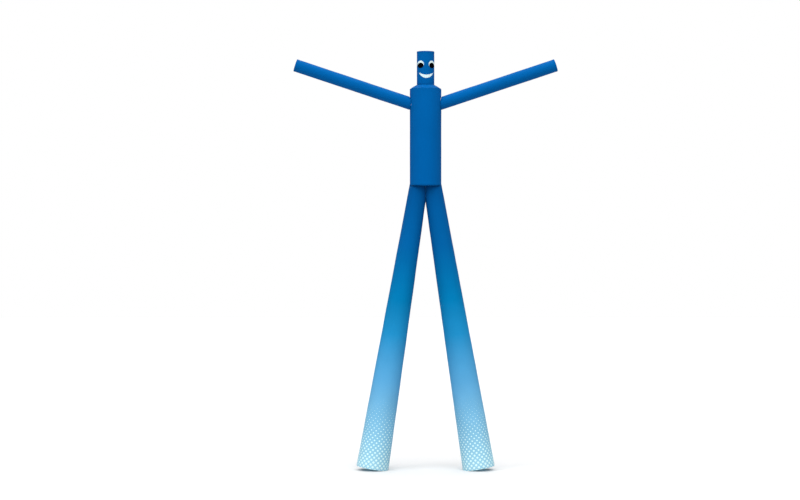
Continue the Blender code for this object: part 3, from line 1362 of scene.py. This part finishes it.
@dataclass
class Patch:
    """A face patch, a thin sheet sewn round its rim to the head."""

    name: str
    head: TubePanel
    middle: tuple[float, float]  # distance straight across from the face's middle, and height
    shape: Shape
    finish: Finish
    thread: ThreadFinish
    under: "Patch | None" = None  # a patch that this one partly lies on
    rise: float = 0.0014  # of its outer side over what it lies on
    turn: float = math.radians(4.55)  # of the whole face to the right
    thickness: float = 0.0010
    columns: int = 56
    rows: int = 40

    def on_face(self, across: Array, up: Array) -> tuple[Array, Array]:
        """Where shares of the patch lie on the face: straight across from its middle, and in height."""
        over, height = self.shape(across, up)
        return self.middle[0] + over, self.middle[1] + height

    def round_head(self, over: Array) -> Array:
        """The angle of a distance straight across the face: the arcsine of its share of the radius."""
        return np.arcsin(over / self.head.cone.radius)

    def cover(self, over: Array, height: Array) -> Array:
        """How high the patch's cloth lifts another that lies over it.

        Formula: the full rise inside the patch's ellipse, easing to nothing just past its rim.

        Args:
            over: distances straight across the face.
            height: heights above the floor.

        Returns:
            The lift in metres.
        """
        reach, rise = self.shape(np.ones(1), np.zeros(1))[0][0], self.shape(np.zeros(1), np.ones(1))[1][0]
        away = np.hypot((over - self.middle[0]) / reach, (height - self.middle[1]) / rise)
        return self.rise * (1.0 - smooth((away - 1.0) / 0.10))

    def place(self, across: Array, up: Array, rise: float | Array) -> Array:
        """Points of the patch on the head.

        Formula: the shape's distance across becomes an angle, and the point stands on the head's own
        cloth by the rise and by what an under patch adds.

        Args:
            across: shares of -1 to 1 across the patch.
            up: shares of -1 to 1 up the patch.
            rise: height over what it lies on.

        Returns:
            The points.
        """
        over, height = self.on_face(across, up)
        if self.under is not None:
            rise = rise + self.under.cover(over, height)
        angle = self.turn + self.round_head(over)
        return self.head.surface(angle, height, rise)

    def rim_row(self, share: float) -> tuple[Array, Array]:
        """The patch's row of stitches, as points and normals, at a share of its half size."""
        run = np.linspace(-1.0, 1.0, 160)
        ones = np.ones_like(run)
        across = np.concatenate([run, ones, run[::-1], -ones]) * share
        up = np.concatenate([-ones, run, ones, run[::-1]]) * share
        over, _ = self.on_face(across, up)
        angle = self.turn + self.round_head(over)
        return self.place(across, up, self.rise), self.head.cone.normal(angle)

    def build(self, wardrobe: Wardrobe) -> bpy.types.Object:
        rows, columns = np.linspace(-1, 1, self.rows), np.linspace(-1, 1, self.columns)
        up, across = np.meshgrid(rows, columns, indexing="ij")
        rim = np.maximum(np.abs(up), np.abs(across))
        points = self.place(across, up, self.rise - 0.0004 * smooth((rim - 0.9) / 0.1))
        over, height = self.on_face(across, up)
        flat = np.stack([self.head.cone.radius * self.round_head(over), height], axis=-1)
        closeness = smooth((rim - 0.8) / 0.2)
        piece = wardrobe.place(
            grid_mesh(f"{self.name}_cloth", points, flat, closeness, closed=False), self.finish, self.name
        )
        thicken(piece, self.thickness)
        mesh = FINE_THREAD.mesh(f"{self.name}_stitches", [self.rim_row(0.93)])
        stitches = wardrobe.place(mesh, self.thread)
        return piece


@dataclass
class Face:
    """Two eyes and a smile, their sizes as seen from the face's own front."""

    head: TubePanel
    eye_offset: float = 0.079
    eye_height: float = 5.8095
    eye_half_width: float = 0.0435
    eye_half_height: float = 0.0535
    pupil_offset: float = 0.079
    pupil_height: float = 5.7945
    pupil_radius: float = 0.0385
    mouth_half_width: float = 0.1005
    mouth_height: float = 5.6935  # of the corners
    mouth_top_dip: float = 0.033  # of the upper lip's middle below the corners
    mouth_bottom_dip: float = 0.0795

    def oval(self, half_width: float, half_height: float) -> Shape:
        """An oval patch.

        Formula: a square of shares goes to a disc, each share times the root of one less half the
        other's square, and the disc is stretched to the oval.

        Args:
            half_width: half the oval's width.
            half_height: half its height.

        Returns:
            The shape.
        """

        def shape(across: Array, up: Array) -> tuple[Array, Array]:
            return (
                half_width * across * np.sqrt(1 - up**2 / 2),
                half_height * up * np.sqrt(1 - across**2 / 2),
            )

        return shape

    def smile(self, across: Array, up: Array) -> tuple[Array, Array]:
        """The mouth, between two arcs that meet near its corners.

        Formula: each lip is a circle's arc through both corners, as low in the middle as its dip. The
        height goes from the lower lip to the upper one with the share up.

        Args:
            across: shares of -1 to 1 across the mouth.
            up: shares of -1 to 1 up it.

        Returns:
            Distance across and height from the middle between the corners.
        """
        blunt = 0.993  # the tips end a little short, so that no face is a point
        over = blunt * self.mouth_half_width * np.sin(across * math.pi / 2)

        def lip(dip: float) -> Array:
            radius = (self.mouth_half_width**2 + dip**2) / (2 * dip)
            return radius - dip - np.sqrt(radius**2 - over**2)

        top, bottom = lip(self.mouth_top_dip), lip(self.mouth_bottom_dip)
        return over, bottom + (top - bottom) * (up + 1) / 2

    def patches(self) -> list[Patch]:
        """The five patches, the pupils lying over the whites."""
        made = []
        for side in Side:
            eye = f"eye_{side.word}"
            middle = (side.value * self.eye_offset, self.eye_height)
            oval = self.oval(self.eye_half_width, self.eye_half_height)
            white = Patch(f"{eye}_white", self.head, middle, oval, WHITE_PATCH, WHITE_THREAD)
            middle = (side.value * self.pupil_offset, self.pupil_height)
            disc = self.oval(self.pupil_radius, self.pupil_radius)
            black = Patch(f"{eye}_pupil", self.head, middle, disc, BLACK_PATCH, BLACK_THREAD, under=white)
            made += [white, black]
        mouth = (0.0, self.mouth_height)
        made.append(
            Patch("mouth", self.head, mouth, self.smile, WHITE_PATCH, WHITE_THREAD, columns=90, rows=24)
        )
        return made


def cut_holes(piece: bpy.types.Object, holes: Sequence[bpy.types.Mesh]) -> None:
    """Cuts closed meshes out of a piece and keeps the result as its mesh.

    Args:
        piece: what is cut.
        holes: the meshes to cut with, which are removed afterwards.
    """
    cutters = []
    for hole in holes:
        cutter = bpy.data.objects.new(hole.name, hole)
        bpy.context.scene.collection.objects.link(cutter)
        cut = piece.modifiers.new(hole.name, "BOOLEAN")
        cut.operation = "DIFFERENCE"
        cut.object = cutter
        cut.solver = "EXACT"
        cutters.append(cutter)
    graph = bpy.context.evaluated_depsgraph_get()
    mesh = bpy.data.meshes.new_from_object(piece.evaluated_get(graph))
    piece.modifiers.clear()
    piece.data = mesh
    mesh.name = piece.name
    for cutter in cutters:
        bpy.data.objects.remove(cutter)


@dataclass
class Studio:
    """A white floor, a soft white dome brightest high up in front, one soft lamp, and the camera."""

    camera_place: tuple[float, float, float] = (-0.367, -27.24, 3.155)
    lens: float = 85.43
    sensor: float = 36.0
    dome_up: float = 1.22  # gained evenly from the horizon to the zenith
    dome_zenith: float = 0.32  # gained mostly near the zenith
    dome_front: float = 10.2  # gained high up towards the front
    dome_back: float = 3.0  # gained high up towards the back
    dome_under: float = 1.34  # gained towards the nadir, as from a pale floor
    dome_gloss: float = 0.08  # share of it that gloss reflects, as with black flags round the set
    floor_white: float = 0.69
    sun_strength: float = 0.40
    sun_angle: float = math.radians(20)
    sun_from: tuple[float, float, float] = (-0.75, -0.55, 0.80)
    floor_reach: float = 60.0

    def camera(self) -> None:
        """A level camera at the photograph's place and framing."""
        lens = bpy.data.cameras.new("camera")
        lens.lens = self.lens
        lens.sensor_width = self.sensor
        lens.clip_end = 200.0
        camera = bpy.data.objects.new("camera", lens)
        camera.location = self.camera_place
        camera.rotation_euler = (math.pi / 2, 0.0, 0.0)
        bpy.context.scene.collection.objects.link(camera)
        bpy.context.scene.camera = camera

    def dome(self) -> None:
        """The light from all round.

        Formula: with h for how far the direction points up and d for its depth, h times the sum of one
        part and of h times another part plus h times the square of d times a third, which is stronger in
        front than behind. Below the horizon, a part that grows with how far it points down. The
        background itself is plain white.
        """
        world = bpy.data.worlds.new("dome")
        bpy.context.scene.world = world
        tree = Tree(world)
        direction = tree.add("SeparateXYZ", {0: tree.add("TexCoord").outputs["Generated"]})
        depth, height = direction.outputs["Y"], direction.outputs["Z"]
        rising = tree.math("MAXIMUM", height, 0.0)
        falling = tree.math("MAXIMUM", tree.math("MULTIPLY", height, -1.0), 0.0)
        end = tree.between(depth, -0.05, 0.05, self.dome_front, self.dome_back)
        ends = tree.math("MULTIPLY", tree.math("MULTIPLY", depth, depth), end)
        high = tree.math("MULTIPLY", rising, tree.math("ADD", ends, self.dome_zenith))
        over = tree.math("MULTIPLY", rising, tree.math("ADD", high, self.dome_up))
        light = tree.math("ADD", over, tree.math("MULTIPLY", falling, self.dome_under))
        path = tree.add("LightPath").outputs
        seen = path["Is Camera Ray"]
        in_gloss = tree.between(path["Is Glossy Ray"], 0.0, 1.0, 1.0, self.dome_gloss)
        light = tree.math("MULTIPLY", light, in_gloss)
        lit = tree.add("Background", {"Color": (1.0, 1.0, 1.0, 1.0), "Strength": light}).outputs[0]
        white = tree.add("Background", {"Color": (1.0, 1.0, 1.0, 1.0), "Strength": 1.0}).outputs[0]
        both = tree.add("MixShader", {0: seen, 1: lit, 2: white}).outputs[0]
        tree.add("OutputWorld", {"Surface": both})

    def lamp(self) -> None:
        """A lamp from the front left, so wide that its shadows melt away within a few steps."""
        light = bpy.data.lights.new("lamp", "SUN")
        light.energy = self.sun_strength
        light.angle = self.sun_angle
        lamp = bpy.data.objects.new("lamp", light)
        away = -np.asarray(self.sun_from)
        across = math.hypot(away[0], away[1])
        swing = math.atan2(away[1], away[0]) - math.pi / 2
        lamp.rotation_euler = (math.atan2(across, -away[2]), 0.0, swing)
        bpy.context.scene.collection.objects.link(lamp)

    def floor(self) -> None:
        """A wide pale floor that lights nothing but itself."""
        reach = self.floor_reach
        corners = [(-reach, -reach, 0.0), (reach, -reach, 0.0), (reach, reach, 0.0), (-reach, reach, 0.0)]
        mesh = bpy.data.meshes.new("floor")
        mesh.from_pydata(corners, [], [(0, 1, 2, 3)])
        paint = bpy.data.materials.new("floor paint")
        tree = Tree(paint)
        shade = tree.add("BsdfDiffuse", {"Color": (*(self.floor_white,) * 3, 1.0)}).outputs[0]
        tree.add("OutputMaterial", {"Surface": shade})
        floor = link(mesh, paint)
        floor.visible_diffuse = False
        floor.visible_glossy = False

    def build(self) -> None:
        """Sets up the whole studio."""
        self.camera()
        self.dome()
        self.lamp()
        self.floor()
        view = bpy.context.scene.view_settings
        view.view_transform = "Standard"
        view.look = "None"


def main() -> None:
    """Builds the figure panel by panel, and the studio."""
    logging.basicConfig(level=logging.INFO, format="%(name)s %(message)s")
    Studio().build()
    wardrobe = Wardrobe()
    trunk = Trunk()
    arms = [Arm(side, trunk) for side in Side]
    legs = [Leg(side, trunk) for side in Side]
    head = trunk.head()
    head.build(wardrobe, BLUE_CLOTH, BLUE_THREAD)
    trunk.shoulders().build(wardrobe, BLUE_CLOTH, BLUE_THREAD)
    body = trunk.body(arms).build(wardrobe, BLUE_CLOTH, BLUE_THREAD)
    cut_holes(body, [arm.hole() for arm in arms])
    for arm in arms:
        arm.panel().build(wardrobe, BLUE_CLOTH, BLUE_THREAD)
    for leg in legs:
        leg.panel().build(wardrobe, PRINTED_CLOTH, PALE_THREAD)
    for facing in (-1, 1):
        BaseCrescent(facing, trunk, legs).build(wardrobe)
    for patch in Face(head).patches():
        patch.build(wardrobe)


if __name__ == "__main__":
    main()
